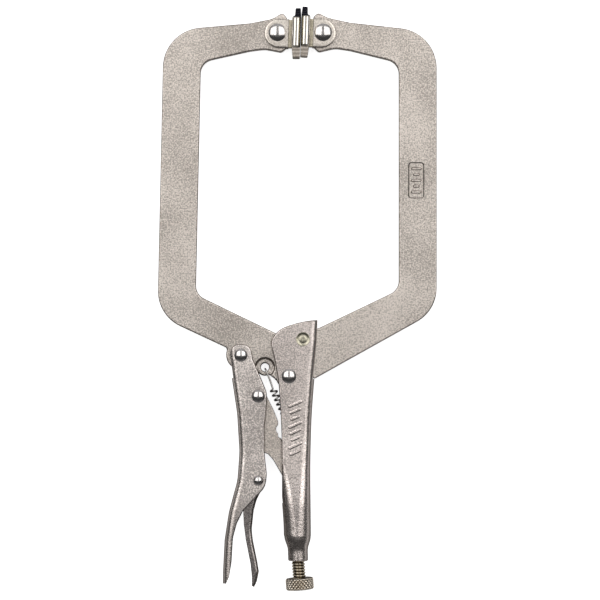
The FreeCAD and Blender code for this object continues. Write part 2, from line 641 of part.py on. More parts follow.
def make_domed_rivet(label, place, pin, dome, grip):
    """Rivet with a domed head at each end, standing on the outer faces of what it holds."""
    body = new_body(label)
    drive(body, "Placement.Base.x", place[0])
    drive(body, "Placement.Base.y", place[1])
    sketch = new_sketch(body, label + "_profile", "XZ_Plane")
    half, reach = value(grip), value("dome_rise")
    shank, head = value(pin), value(dome)
    ball = (head ** 2 + reach ** 2) / (2 * reach)
    point = FreeCAD.Vector
    crown = "%s + dome_rise" % grip
    lift = ball - reach
    spots = [("0", "-(%s)" % crown), ("0", crown), (dome, grip), (pin, grip), (pin, "-(%s)" % grip),
             (dome, "-(%s)" % grip)]

    def cap(sign):
        """Arc from the crown of the dome to its rim."""
        side = head * 0.5
        rise = (ball ** 2 - side ** 2) ** 0.5 - lift
        return Part.Arc(point(0, sign * (half + reach), 0), point(side, sign * (half + rise), 0),
                        point(head, sign * half, 0))

    sketch.addGeometry(Part.LineSegment(point(0, -half - reach, 0), point(0, half + reach, 0)))
    sketch.addGeometry(cap(1))
    sketch.addGeometry(Part.LineSegment(point(head, half, 0), point(shank, half, 0)))
    sketch.addGeometry(Part.LineSegment(point(shank, half, 0), point(shank, -half, 0)))
    sketch.addGeometry(Part.LineSegment(point(shank, -half, 0), point(head, -half, 0)))
    sketch.addGeometry(cap(-1))
    # a three-point arc may be stored either way round, so each corner joins the ends that meet there
    ends = []
    for spot in spots:
        here = point(value(spot[0]), value(spot[1]), 0)
        touching = []
        for element in range(6):
            for end in (1, 2):
                if sketch.getPoint(element, end).distanceToPoint(here) < 1e-4:
                    touching.append((element, end))
        ends.append(touching)
    for spot, touching in zip(spots, ends):
        first, second = touching
        sketch.addConstraint(Sketcher.Constraint("Coincident", first[0], first[1], second[0], second[1]))
        fix_point(sketch, first[0], first[1], spot)
    size = "((%s)^2 + dome_rise^2) / (2 * dome_rise)" % dome
    for element in (1, 5):
        row = sketch.addConstraint(Sketcher.Constraint("Radius", element, ball))
        drive(sketch, "Constraints[%d]" % row, size)
    feature = body.newObject("PartDesign::Revolution", label + "_turned")
    feature.Profile = sketch
    feature.ReferenceAxis = (sketch, ["V_Axis"])
    feature.Angle = 360
    doc.recompute()


def make_flush_rivet():
    """Countersunk rivet that holds the fixed arm's tang; its heads are flush with the cheeks."""
    body = new_body("fixed_arm_rivet")
    drive(body, "Placement.Base.x", ARM_RIVET[0])
    drive(body, "Placement.Base.y", ARM_RIVET[1])
    face = "arm_thick / 2 + side_play + handle_sheet"
    inner = "(%s - flush_head_depth)" % face
    turned(body, "flush_rivet", [("0", "-(%s)" % face), ("flush_head_radius", "-(%s)" % face),
                                 ("flush_pin_radius", "-" + inner), ("flush_pin_radius", inner),
                                 ("flush_head_radius", face), ("0", face)])


def make_rivets():
    """Every domed rivet of the tool."""
    handle_grip = "(arm_thick / 2 + side_play + handle_sheet)"
    lever_grip = "(arm_thick / 2 + side_play + lever_sheet)"
    pad_grip = "(arm_thick / 2 + side_play + pad_ear_sheet)"
    make_domed_rivet("jaw_pivot_rivet", JAW_PIVOT, "jaw_pin_radius", "jaw_dome_radius", handle_grip)
    make_domed_rivet("lever_pivot_rivet", LEVER_PIVOT, "lever_pin_radius", "lever_dome_radius", lever_grip)
    make_domed_rivet("link_rivet", LINK_PIVOT, "lever_pin_radius", "lever_dome_radius", lever_grip)
    make_domed_rivet("release_rivet", RELEASE_PIVOT, "release_pin_radius", "release_dome_radius", lever_grip)
    for side in ("fixed_pad", "moving_pad"):
        make_domed_rivet(side + "_rivet", (side + "_x", side + "_y"), "pad_pin_radius", "pad_dome_radius",
                         pad_grip)


def write_pieces():
    """Check every object and every piece, then write one file for each piece."""
    doc.recompute()
    for item in doc.Objects:
        if "Invalid" in item.State or "Error" in item.State:
            raise RuntimeError("%s failed: %s" % (item.Name, item.State))
    for piece in PIECES:
        shape = piece.Shape
        if shape.isNull() or not shape.isValid() or len(shape.Solids) != 1:
            raise RuntimeError("%s: valid %s, solids %d" % (piece.Label, shape.isValid(), len(shape.Solids)))
    os.makedirs("parts", exist_ok=True)
    for piece in PIECES:
        piece.Shape.exportStep("parts/%s.step" % piece.Label)
        box = piece.Shape.BoundBox
        print("%-20s %9.0f mm3  x %7.1f %7.1f  y %7.1f %7.1f  z %6.2f %6.2f" % (
            piece.Label, piece.Shape.Volume, box.XMin, box.XMax, box.YMin, box.YMax, box.ZMin, box.ZMax))


make_fixed_jaw_arm()
make_moving_jaw_arm()
make_fixed_handle()
make_lever_handle()
make_release_lever()
make_toggle_link()
make_adjusting_screw()
make_screw_knob()
make_tension_spring()
make_pad("fixed_pad", "fixed_pad_x", "fixed_pad_y", "fixed_pad_reach", -1)
make_pad("moving_pad", "moving_pad_x", "moving_pad_y", "moving_pad_reach", 1)
make_rivets()
make_flush_rivet()
write_pieces()
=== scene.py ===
import math

import bmesh
import bpy
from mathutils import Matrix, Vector


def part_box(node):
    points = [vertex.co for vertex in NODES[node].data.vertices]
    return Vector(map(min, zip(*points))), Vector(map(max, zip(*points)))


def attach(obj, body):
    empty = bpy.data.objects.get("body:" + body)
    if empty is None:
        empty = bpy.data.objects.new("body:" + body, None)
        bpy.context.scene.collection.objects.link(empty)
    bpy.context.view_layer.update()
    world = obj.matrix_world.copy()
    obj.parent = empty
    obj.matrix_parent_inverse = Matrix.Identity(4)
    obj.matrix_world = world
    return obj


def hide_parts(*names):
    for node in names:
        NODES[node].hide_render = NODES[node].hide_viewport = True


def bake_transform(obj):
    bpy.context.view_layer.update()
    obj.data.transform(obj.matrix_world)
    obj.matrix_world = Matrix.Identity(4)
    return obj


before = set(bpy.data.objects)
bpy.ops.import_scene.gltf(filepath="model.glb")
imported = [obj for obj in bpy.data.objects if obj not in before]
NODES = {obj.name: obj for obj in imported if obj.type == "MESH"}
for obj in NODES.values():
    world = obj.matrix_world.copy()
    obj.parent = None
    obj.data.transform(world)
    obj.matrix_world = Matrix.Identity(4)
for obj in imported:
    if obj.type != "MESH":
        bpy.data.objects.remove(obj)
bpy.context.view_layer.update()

# Blender works in metres. Shapes here are in mm, where a level is a height from the middle plane
# and a spot is a place in the tool's frame. Materials, studio and camera are in metres.
MM = 0.001
MIDDLE_MM = 12.5                                 # height of the plane the tool is mirrored about
MIDDLE = MIDDLE_MM * MM
SCREW_BASE, SCREW_LEAN = (0.45, -205.0), 4.0     # a point on the screw's axis, its lean in degrees


# ---------------------------------------------------------------- node helpers

def material(name, metallic=1.0, roughness=0.4):
    """A node material with its Principled shader; returns the material, its tree and the shader."""
    mat = bpy.data.materials.new(name)
    mat.use_nodes = True
    tree = mat.node_tree
    shader = tree.nodes["Principled BSDF"]
    shader.inputs["Metallic"].default_value = metallic
    shader.inputs["Roughness"].default_value = roughness
    return mat, tree, shader


def add_node(tree, kind, settings=(), **inputs):
    """A node with its settings and the values of its inputs (underscores stand for spaces)."""
    node = tree.nodes.new(kind)
    for key, setting in dict(settings).items():
        setattr(node, key, setting)
    for key, amount in inputs.items():
        node.inputs[key.replace("_", " ")].default_value = amount
    return node


def wire(tree, source, socket):
    """Link an output to the input, or give the input a plain number."""
    if isinstance(source, float):
        socket.default_value = source
    else:
        tree.links.new(source, socket)


def coordinates(tree, kind="Object"):
    return tree.nodes.new("ShaderNodeTexCoord").outputs[kind]


def axes(tree, vector):
    """The X, Y and Z outputs of a vector."""
    node = tree.nodes.new("ShaderNodeSeparateXYZ")
    wire(tree, vector, node.inputs[0])
    return node.outputs


def compute(tree, operation, *sources):
    """The result of a Math node over outputs or plain numbers."""
    node = add_node(tree, "ShaderNodeMath", {"operation": operation})
    for source, socket in zip(sources, node.inputs):
        wire(tree, source, socket)
    return node.outputs[0]


def noise(tree, vector, scale, detail=3.0, rough=0.55):
    node = add_node(tree, "ShaderNodeTexNoise", Scale=scale, Detail=detail, Roughness=rough)
    wire(tree, vector, node.inputs["Vector"])
    return node.outputs["Fac"]


def ramp(tree, factor, stops):
    """A colour ramp over factor, from a list of (position, colour)."""
    node = tree.nodes.new("ShaderNodeValToRGB")
    elements = node.color_ramp.elements
    while len(elements) < len(stops):
        elements.new(0.5)
    for element, (position, colour) in zip(elements, stops):
        element.position = position
        element.color = (*colour, 1.0)
    wire(tree, factor, node.inputs["Fac"])
    return node.outputs["Color"]


def rescale(tree, factor, low, high, source=(0.0, 1.0)):
    """The factor taken from the source range to low..high, and held there outside it."""
    node = tree.nodes.new("ShaderNodeMapRange")
    values = (source[0], source[1], low, high)
    for key, amount in zip(("From Min", "From Max", "To Min", "To Max"), values):
        node.inputs[key].default_value = amount
    wire(tree, factor, node.inputs["Value"])
    return node.outputs["Result"]


def bump(tree, height, distance, normal=None):
    """The normal over a height of up to the distance, on top of another bump's if one is given."""
    node = add_node(tree, "ShaderNodeBump", Strength=1.0, Distance=distance)
    wire(tree, height, node.inputs["Height"])
    if normal is not None:
        wire(tree, normal, node.inputs["Normal"])
    return node.outputs["Normal"]


def worn(tree):
    """Where handling has burnished the plating, 0 on broad flat faces and 1 on rims and bends.

    Returns that and how level the surface is, from 0 on an upright face to 1 on a flat one.
    """
    level = compute(tree, "ABSOLUTE", axes(tree, coordinates(tree, "Normal"))["Z"])
    return rescale(tree, level, 1.0, 0.0, (0.93, 0.995)), level


def mixed(tree, factor, first, second):
    """The first number turned to the second by the factor; both are outputs or plain numbers."""
    node = add_node(tree, "ShaderNodeMix", {"data_type": "FLOAT"})
    wire(tree, factor, node.inputs["Factor"])
    wire(tree, first, node.inputs[2])
    wire(tree, second, node.inputs[3])
    return node.outputs[0]


def tinted(tree, factor, colour, second):
    """The colour turned to the second one by the factor."""
    node = add_node(tree, "ShaderNodeMix", {"data_type": "RGBA"})
    wire(tree, factor, node.inputs["Factor"])
    wire(tree, colour, node.inputs[6])
    node.inputs[7].default_value = (*second, 1.0)
    return node.outputs[2]


# ---------------------------------------------------------------- materials

SATIN_METAL = 0.96                  # metallic value of the satin steels
SATIN_TINT = (0.62, 0.60, 0.58, 1.0)
GRAIN_BAND = (0.42, 0.58)           # where the grain's noise turns from the dark tone to the pale
CLOUD_SCALE, CLOUD_SHARE = 22.0, 0.25
PAINTED_SIDE_SHADE = 0.5                     # painted shade: how dark upright sides are painted, against the dark tone
NOISE_BAND = (0.3, 0.7)             # the range that a noise mostly stays in


def grained_steel(name, pale, dark, grain, depth, flat_rough, worn_rough, burnished=None,
                  painted_tail_shade=0.0):
    """Satin plated steel over a sand-blasted surface: fine grain, slow clouds, burnished rims.

    grain is the scale of the noise and depth its height; flat_rough and worn_rough are the
    roughness of the faces and of the rims. burnished is the pair of places along the tool between
    which the finish turns burnished all over; painted_tail_shade is how far the tone there turns
    dark, as painted shade on the tail.
    """
    mat, tree, shader = material(name, metallic=SATIN_METAL)
    where = coordinates(tree)
    fine = noise(tree, where, grain, 3.0, 0.6)
    slow = noise(tree, where, CLOUD_SCALE, 3.0, 0.5)
    clouds = compute(tree, "MULTIPLY", slow, CLOUD_SHARE)
    texture = compute(tree, "MULTIPLY_ADD", fine, 1.0 - CLOUD_SHARE, clouds)
    face = ramp(tree, texture, [(GRAIN_BAND[0], dark), (GRAIN_BAND[1], pale)])
    rim, level = worn(tree)
    if burnished:
        along = axes(tree, where)["Y"]
        rim = mixed(tree, rescale(tree, along, 0.0, 1.0, burnished), rim, 1.0)
        if painted_tail_shade:
            # painted shade: the tone turns dark towards the tail
            face = tinted(tree, rescale(tree, along, 0.0, painted_tail_shade, burnished), face, dark)
    # painted shade: the colour turns to a darker copy of the dark tone as the face stands upright
    side = rescale(tree, level, 1.0, 0.0, (0.35, 0.75))
    shade = tuple(PAINTED_SIDE_SHADE * channel for channel in dark)
    wire(tree, tinted(tree, side, face, shade), shader.inputs["Base Color"])
    spread = rescale(tree, fine, flat_rough - 0.06, flat_rough + 0.08, NOISE_BAND)
    wire(tree, mixed(tree, rim, spread, worn_rough), shader.inputs["Roughness"])
    coarse = noise(tree, where, grain * 0.3, 2.0, 0.5)
    pitted = bump(tree, coarse, depth * 0.9)
    wire(tree, bump(tree, fine, depth, pitted), shader.inputs["Normal"])
    shader.inputs["Specular Tint"].default_value = SATIN_TINT
    return mat


def polished_steel(name, pale, dark, roughness):
    """Bright polished steel with faint streaks."""
    mat, tree, shader = material(name)
    where = coordinates(tree)
    fine = noise(tree, where, 700.0)
    wire(tree, ramp(tree, fine, [(0.3, dark), (0.65, pale)]), shader.inputs["Base Color"])
    spread = rescale(tree, noise(tree, where, 250.0), roughness * 0.8, roughness * 1.25, NOISE_BAND)
    wire(tree, spread, shader.inputs["Roughness"])
    wire(tree, bump(tree, fine, 0.000004), shader.inputs["Normal"])
    shader.inputs["Specular Tint"].default_value = (0.3, 0.3, 0.3, 1.0)
    return mat


def cut_steel(name, pale, dark, roughness, low, high):
    """Polished steel whose grooves are painted dark as painted shade: its tone turns pale from the
    low distance in mm to the high one from the screw's axis."""
    mat, tree, shader = material(name)
    where = coordinates(tree)
    offset = add_node(tree, "ShaderNodeVectorMath", {"operation": "SUBTRACT"})
    wire(tree, where, offset.inputs[0])
    offset.inputs[1].default_value = (SCREW_BASE[0] * MM, SCREW_BASE[1] * MM, MIDDLE)
    across = add_node(tree, "ShaderNodeVectorMath", {"operation": "CROSS_PRODUCT"})
    wire(tree, offset.outputs[0], across.inputs[0])
    tilt = math.radians(SCREW_LEAN)
    across.inputs[1].default_value = (-math.sin(tilt), math.cos(tilt), 0.0)
    reach = add_node(tree, "ShaderNodeVectorMath", {"operation": "LENGTH"})
    wire(tree, across.outputs[0], reach.inputs[0])
    clear_of_groove_shade = rescale(tree, reach.outputs["Value"], 0.0, 1.0, (low * MM, high * MM))
    wire(tree, ramp(tree, clear_of_groove_shade, [(0.0, dark), (1.0, pale)]), shader.inputs["Base Color"])
    speck = noise(tree, where, 900.0)
    spread = rescale(tree, speck, roughness * 0.7, roughness * 1.3, NOISE_BAND)
    wire(tree, spread, shader.inputs["Roughness"])
    wire(tree, bump(tree, speck, 0.000006), shader.inputs["Normal"])
    shader.inputs["Specular Tint"].default_value = (0.4, 0.38, 0.34, 1.0)
    return mat


def ribbed(name, pale, dark, roughness, pitch, depth):
    """Plated steel with fine ribs across the tool, as pressed into the ends of the pads."""
    mat, tree, shader = material(name)
    where = coordinates(tree)
    turns = compute(tree, "MULTIPLY", axes(tree, where)["Y"], 2 * math.pi / pitch)
    rib = rescale(tree, compute(tree, "SINE", turns), 0.0, 1.0, (-1.0, 1.0))
    speck = noise(tree, where, 1400.0, 2.0)
    tone = ramp(tree, compute(tree, "MULTIPLY", rib, speck), [(0.15, dark), (0.55, pale)])
    wire(tree, tone, shader.inputs["Base Color"])
    spread = rescale(tree, speck, roughness * 0.8, roughness * 1.2, NOISE_BAND)
    wire(tree, spread, shader.inputs["Roughness"])
    wire(tree, bump(tree, rib, depth), shader.inputs["Normal"])
    shader.inputs["Specular Tint"].default_value = (0.3, 0.3, 0.3, 1.0)
    return mat


forged = grained_steel("forged_arm_satin", (0.79, 0.725, 0.67), (0.37, 0.335, 0.305),
                       900.0, 0.00008, 0.42, 0.26)
pressed = grained_steel("pressed_handle_satin", (0.87, 0.79, 0.75), (0.41, 0.365, 0.345),
                        1000.0, 0.00008, 0.38, 0.24, burnished=(-0.118, -0.150))
# the lever's tone is painted darker towards its tail, as painted shade
lever_steel = grained_steel("pressed_lever_satin", (0.99, 0.915, 0.87), (0.42, 0.38, 0.36),
                            1000.0, 0.00008, 0.38, 0.22, burnished=(-0.150, -0.180),
                            painted_tail_shade=0.75)
# the release lever: the pressed steel painted darker all over, as painted shade
release_steel = grained_steel("release_lever_painted_shade", (0.50, 0.455, 0.435), (0.20, 0.18, 0.172),
                              1000.0, 0.00006, 0.30, 0.22, burnished=(-0.125, -0.165))
toggle = grained_steel("toggle_satin", (0.84, 0.765, 0.70), (0.44, 0.395, 0.36),
                       1100.0, 0.00006, 0.42, 0.26)
bright = polished_steel("rivet_polished", (0.82, 0.79, 0.78), (0.62, 0.59, 0.58), 0.17)
olive = grained_steel("rivet_flush_olive", (0.56, 0.53, 0.43), (0.34, 0.32, 0.24),
                      1100.0, 0.00004, 0.34, 0.30)
# painted shade: the dark tones of the screw and the knob lie in their grooves
thread_steel = cut_steel("screw_nickel", (0.88, 0.79, 0.64), (0.10, 0.075, 0.045), 0.22, 4.5, 5.25)
knurl_steel = cut_steel("knob_nickel", (0.95, 0.86, 0.74), (0.07, 0.055, 0.04), 0.24, 10.1, 10.75)
wire_steel = polished_steel("spring_wire_steel", (0.62, 0.60, 0.58), (0.40, 0.38, 0.37), 0.20)
pad_bright = polished_steel("pad_polished", (0.84, 0.80, 0.74), (0.70, 0.66, 0.60), 0.10)
pad_satin = grained_steel("pad_ear_satin", (0.80, 0.745, 0.68), (0.55, 0.50, 0.45),
                          900.0, 0.00004, 0.38, 0.18)
pad_fold = grained_steel("pad_fold_tan", (0.62, 0.56, 0.44), (0.40, 0.36, 0.27),
                         900.0, 0.00004, 0.36, 0.26)
# near-black plated steel, painted shade: the dark reflection on the upper flaps, and the gap
# between the pads on the barrels' bearing faces
pad_shade_black = ribbed("pad_black_painted_shade", (0.055, 0.055, 0.07), (0.010, 0.010, 0.014),
                  0.30, 0.0013, 0.00012)
pad_tan = ribbed("pad_flap_tan", (0.62, 0.56, 0.50), (0.34, 0.30, 0.26), 0.34, 0.0030, 0.00006)


# ---------------------------------------------------------------- meshes

def link(name, data):
    """A new object in the scene, with its mesh, light or camera."""
    thing = bpy.data.objects.new(name, data)
    bpy.context.scene.collection.objects.link(thing)
    return thing


def finished_mesh(made, name, angle=35.0):
    """The mesh, shaded smooth except over edges sharper than the angle."""
    mesh = bpy.data.meshes.new(name)
    made.to_mesh(mesh)
    made.free()
    if "custom_normal" in mesh.attributes:
        mesh.attributes.remove(mesh.attributes["custom_normal"])
    mesh.shade_smooth()
    mesh.set_sharp_from_angle(angle=math.radians(angle))
    return mesh


def weighted(piece):
    """The piece with its normals evened out over its broad faces."""
    modifier = piece.modifiers.new("even_normals", "WEIGHTED_NORMAL")
    modifier.keep_sharp = True
    modifier.weight = 80
    return piece


def hold(piece, body, slot, finish, *nodes):
    """The piece takes its finish, stands for the nodes and rides on the body."""
    piece.data.materials.clear()
    piece.data.materials.append(finish)
    if nodes:
        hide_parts(*nodes)
    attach(piece, body)


def plain_copy(node, flat=0.6):
    """The node's own faces, welded, and joined where they turn less than flat degrees."""
    made = bmesh.new()
    made.from_mesh(NODES[node].data)
    bmesh.ops.remove_doubles(made, verts=made.verts, dist=0.002 * MM)
    bmesh.ops.dissolve_limit(made, angle_limit=math.radians(flat), verts=made.verts,
                             edges=made.edges, delimit={"NORMAL"})
    return made


def soften(made, width, angle=50.0, segments=3, where=None):
    """Round the edges that turn more than the angle, if where accepts the spot of their middle."""
    bmesh.ops.dissolve_degenerate(made, dist=0.05 * MM, edges=made.edges)
    edges = []
    for edge in made.edges:
        if len(edge.link_faces) == 2 and edge.calc_face_angle() > math.radians(angle):
            middle = (edge.verts[0].co + edge.verts[1].co) / 2 / MM
            if where is None or where(middle):
                edges.append(edge)
    bmesh.ops.bevel(made, geom=edges, offset=width * MM, segments=segments, profile=0.5,
                    affect="EDGES", clamp_overlap=False, harden_normals=False)


def skin(made, rings):
    """Add a closed skin over rings of equally many points, with flat ends."""
    rows = [[made.verts.new(point) for point in ring] for ring in rings]
    count = len(rows[0])
    for low, high in zip(rows, rows[1:]):
        for i in range(count):
            j = (i + 1) % count
            made.faces.new((low[i], low[j], high[j], high[i]))
    made.faces.new(rows[0][::-1])
    made.faces.new(rows[-1])


def lofted(rings):
    """A closed solid skinned over rings of points in metres."""
    made = bmesh.new()
    skin(made, rings)
    bmesh.ops.recalc_face_normals(made, faces=made.faces)
    return made


def prism(outline, low, high):
    """A straight solid over a flat outline, between two levels."""
    return lofted([[(x * MM, y * MM, MIDDLE + level * MM) for x, y in outline]
                   for level in (low, high)])


def carve(body, tools):
    """The body with each (tool, operation) applied in turn."""
    target = link("carve_target", bpy.data.meshes.new("carve_target"))
    body.to_mesh(target.data)
    body.free()
    for tool, operation in tools:
        cutter = link("carve_cutter", bpy.data.meshes.new("carve_cutter"))
        tool.to_mesh(cutter.data)
        tool.free()
        modifier = target.modifiers.new("carve", "BOOLEAN")
        modifier.operation = operation
        modifier.solver = "EXACT"
        modifier.object = cutter
        graph = bpy.context.evaluated_depsgraph_get()
        result = bpy.data.meshes.new_from_object(target.evaluated_get(graph))
        target.modifiers.clear()
        target.data = result
        bpy.data.objects.remove(cutter)
    made = bmesh.new()
    made.from_mesh(target.data)
    bpy.data.objects.remove(target)
    bmesh.ops.remove_doubles(made, verts=made.verts, dist=0.01 * MM)
    return made


def between(table, at):
    """Smooth reading of a table of (place, values...) rows sorted by falling place."""
    places = [row[0] for row in table]
    if at >= places[0]:
        return table[0][1:]
    if at <= places[-1]:
        return table[-1][1:]
    k = next(i for i in range(len(places) - 1) if places[i] >= at >= places[i + 1])
    span = places[k + 1] - places[k]
    t = (at - places[k]) / span
    result = []
    for column in range(1, len(table[0])):
        values = [row[column] for row in table]

        def slope(i):
            if i in (0, len(places) - 1):
                return 0.0
            before = (values[i] - values[i - 1]) / (places[i] - places[i - 1])
            after = (values[i + 1] - values[i]) / (places[i + 1] - places[i])
            return 0.0 if before * after <= 0 else 2 * before * after / (before + after)

        m0, m1 = slope(k) * span, slope(k + 1) * span
        result.append((2 * t ** 3 - 3 * t ** 2 + 1) * values[k] + (t ** 3 - 2 * t ** 2 + t) * m0
                      + (3 * t ** 2 - 2 * t ** 3) * values[k + 1] + (t ** 3 - t ** 2) * m1)
    return result


def full_turn(steps):
    """The angles of equal steps round a circle."""
    return [2 * math.pi * k / steps for k in range(steps)]


def spaced(low, high, count):
    return [low + (high - low) * k / count for k in range(count + 1)]


def arc_points(centre, radius, start, end, steps):
    """Points on an arc, angles in degrees."""
    angles = [math.radians(start + (end - start) * step / steps) for step in range(steps + 1)]
    return [(centre[0] + radius * math.cos(a), centre[1] + radius * math.sin(a)) for a in angles]


def rounded_box(x0, y0, x1, y1, radius):
    """Outline of a rectangle with round corners."""
    corners = ((x1 - radius, y1 - radius, 0), (x0 + radius, y1 - radius, 90),
               (x0 + radius, y0 + radius, 180), (x1 - radius, y0 + radius, 270))
    return [point for x, y, start in corners
            for point in arc_points((x, y), radius, start, start + 90, 6)]


def bar(centre, length, width, turn):
    """Outline of a bar with round ends, turned by degrees."""
    half, radius = length / 2 - width / 2, width / 2
    points = arc_points((half, 0), radius, -90, 90, 5) + arc_points((-half, 0), radius, 90, 270, 5)
    c, s = math.cos(math.radians(turn)), math.sin(math.radians(turn))
    return [(centre[0] + x * c - y * s, centre[1] + x * s + y * c) for x, y in points]


def shrunk(outline, amount):
    """The outline moved inwards by about the amount."""
    count = len(outline)
    result = []
    for i in range(count):
        before, here, after = (Vector(outline[j % count]) for j in (i - 1, i, i + 1))
        along = (after - before).normalized()
        result.append((here.x - along.y * amount, here.y + along.x * amount))
    return result


def curved(points, steps):
    """A smooth open curve through the points, with steps to each span."""
    ends = [points[0]] + list(points) + [points[-1]]
    result = []
    for k in range(1, len(ends) - 2):
        p0, p1, p2, p3 = (Vector(ends[k + j]) for j in (-1, 0, 1, 2))
        for step in range(steps):
            t = step / steps
            spot = 0.5 * (2 * p1 + (p2 - p0) * t + (2 * p0 - 5 * p1 + 4 * p2 - p3) * t ** 2
                          + (3 * p1 - 3 * p2 + p3 - p0) * t ** 3)
            result.append((spot.x, spot.y))
    return result + [points[-1]]


def rounded_ring(place, left, right, half, radius):
    """A rounded rectangle across the tool at one place along it, in metres."""
    steps = 9
    ring = []
    radius = min(radius, half, (right - left) / 2)
    corners = ((right - radius, half - radius, 0), (left + radius, half - radius, 90),
               (left + radius, radius - half, 180), (right - radius, radius - half, 270))
    for x, z, start in corners:
        for step in range(steps + 1):
            angle = math.radians(start + 90 * step / steps)
            ring.append(((x + radius * math.cos(angle)) * MM, place * MM,
                         MIDDLE + (z + radius * math.sin(angle)) * MM))
    return ring


def disc_solid(place, profile, steps=64):
    """A solid turned about an upright axis at the place; profile is (radius, level)."""
    return lofted([[((place[0] + radius * math.cos(angle)) * MM,
                     (place[1] + radius * math.sin(angle)) * MM, MIDDLE + level * MM)
                    for angle in full_turn(steps)] for radius, level in profile])


def on_axis(radius, angle, height):
    """A point in metres about the screw's axis, at a height along it from its base."""
    tilt = math.radians(SCREW_LEAN)
    across, up = radius * math.cos(angle), radius * math.sin(angle)
    x = SCREW_BASE[0] + across * math.cos(tilt) - height * math.sin(tilt)
    y = SCREW_BASE[1] + across * math.sin(tilt) + height * math.cos(tilt)
    return (x * MM, y * MM, MIDDLE + up * MM)


def lathe(profile):
    """A solid turned about the screw's axis; profile is (radius, height)."""
    return lofted([[on_axis(radius, angle, height) for angle in full_turn(48)]
                   for radius, height in profile])


def turned_grid(heights, radius_at, steps):
    """A solid about the screw's axis whose radius varies with angle and height."""
    return lofted([[on_axis(radius_at(angle, height), angle, height) for angle in full_turn(steps)]
                   for height in heights])


def tube(path, radius):
    """A round wire of constant radius that follows a path of points."""
    spots = [Vector(point) for point in path]
    rings = []
    side = Vector((0, 0, 1))
    for i, spot in enumerate(spots):
        ahead = (spots[min(i + 1, len(spots) - 1)] - spots[max(i - 1, 0)]).normalized()
        side = (side - ahead * side.dot(ahead)).normalized()
        other = ahead.cross(side)
        rings.append([(spot + (side * math.cos(a) + other * math.sin(a)) * radius) * MM
                      for a in full_turn(10)])
    return lofted(rings)


# ---------------------------------------------------------------- kinds of pieces

def sheet_piece(name, made, rim, body, slot, finish, node, where=None):
    """A plate or sheet part with its rims rounded."""
    soften(made, rim, where=where)
    hold(weighted(link(name, finished_mesh(made, name))), body, slot, finish, node)


def relief(name, outlines, surface, rise, slope, body, slot, finish):
    """Raised shapes with sloping sides on a face whose level at (x, y) is surface(x, y)."""
    sunk = -0.3
    made = bmesh.new()
    for outline in outlines:
        rows = ((outline, sunk), (outline, 0.0), (shrunk(outline, slope), rise))
        skin(made, [[(x * MM, y * MM, MIDDLE + (surface(x, y) + lift) * MM) for x, y in shape]
                    for shape, lift in rows])
    bmesh.ops.recalc_face_normals(made, faces=made.faces)
    hold(link(name, finished_mesh(made, name, 25.0)), body, slot, finish)


def rivet(node, body, half, slot, finish):
    """A rivet turned over half its profile, (radius, level), and that half's mirror image."""
    low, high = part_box(node)
    centre = ((low[0] + high[0]) / 2 / MM, (low[1] + high[1]) / 2 / MM)
    profile = half + [(radius, -level) for radius, level in reversed(half)]
    name = node + "_piece"
    piece = link(name, finished_mesh(disc_solid(centre, profile), name, 50.0))
    hold(piece, body, slot, finish, node)


def domed_rivet(node, body, head, grip):
    """A rivet with a polished dome of radius head on each side of what it grips."""
    rise = (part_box(node)[1][2] - MIDDLE) / MM - grip
    ball = (head ** 2 + rise ** 2) / (2 * rise)
    span = math.asin(head / ball)
    half = []
    for k in range(17):
        angle = span * (0.02 + 0.98 * k / 16)
        half.append((ball * math.sin(angle), grip + rise - ball * (1 - math.cos(angle))))
    rivet(node, body, half, "rivet_bright", bright)


def off_middle(spot):
    """How far a spot is from the middle plane."""
    return abs(spot.z - MIDDLE_MM)


# ---------------------------------------------------------------- the arms

ARM_RIM, ARM_FACE = 1.2, 4.0
# a generic sunken panel on the fixed arm; the edges inside PANEL_ROOM stay sharp
PANEL_BOX, PANEL_CORNER, PANEL_DEEP = (86.6, 78.2, 99.3, 106.8), 2.6, 0.75
PANEL_ROOM = (85, 77, 101, 108)


def outside_panel(spot):
    x0, y0, x1, y1 = PANEL_ROOM
    return not (x0 < spot.x < x1 and y0 < spot.y < y1 and spot.z > MIDDLE_MM + 1.5)


panel = rounded_box(*PANEL_BOX, PANEL_CORNER)
recess = lofted([[(x * MM, y * MM, MIDDLE + level * MM) for x, y in shrunk(panel, inset)]
                 for level, inset in ((ARM_FACE - PANEL_DEEP, 1.0), (ARM_FACE, 0.0),
                                      (ARM_FACE + 2.0, 0.0))])
sheet_piece("fixed_arm_forging", carve(plain_copy("fixed_jaw_arm"), [(recess, "DIFFERENCE")]),
            ARM_RIM, "root", "forged_arm", forged, "fixed_jaw_arm", outside_panel)
sheet_piece("moving_arm_forging", plain_copy("moving_jaw_arm"), ARM_RIM, "moving_jaw",
            "forged_arm", forged, "moving_jaw_arm")
stamp_bars = [bar((93.0, 83.4 + 4.55 * k), 8.4 - (k % 2) * 3.0, 2.6, 0) for k in range(5)]
relief("fixed_arm_stamp", stamp_bars, lambda x, y: ARM_FACE - PANEL_DEEP, 0.6, 0.7,
       "root", "forged_arm", forged)


# ---------------------------------------------------------------- the handles

# stations of the fixed handle: place, left, right, half depth, bend radius
GRIP = ((-8.0, -34.0, 17.0, 6.7, 6.0), (-31.0, -34.0, 16.1, 6.7, 6.0),
        (-62.0, -34.0, 13.3, 6.7, 6.0), (-103.0, -27.0, 10.7, 6.72, 6.1),
        (-138.0, -15.0, 10.05, 8.7, 7.6), (-163.0, -11.9, 10.3, 10.3, 9.2),
        (-186.0, -10.75, 10.5, 10.4, 10.3))
# the round neck below it: its axis, and its radius at each place
NECK_X, NECK_Y, NECK_LEAN = 0.5, -205.5, 1.5
NECK = ((-186.0, 10.42), (-187.5, 10.32), (-189.0, 10.05), (-190.5, 9.6), (-192.0, 9.08),
        (-193.5, 8.56), (-195.0, 8.14), (-196.5, 7.9), (-198.0, 7.8), (-201.5, 7.8),
        (-204.9, 7.75), (-205.5, 7.2))
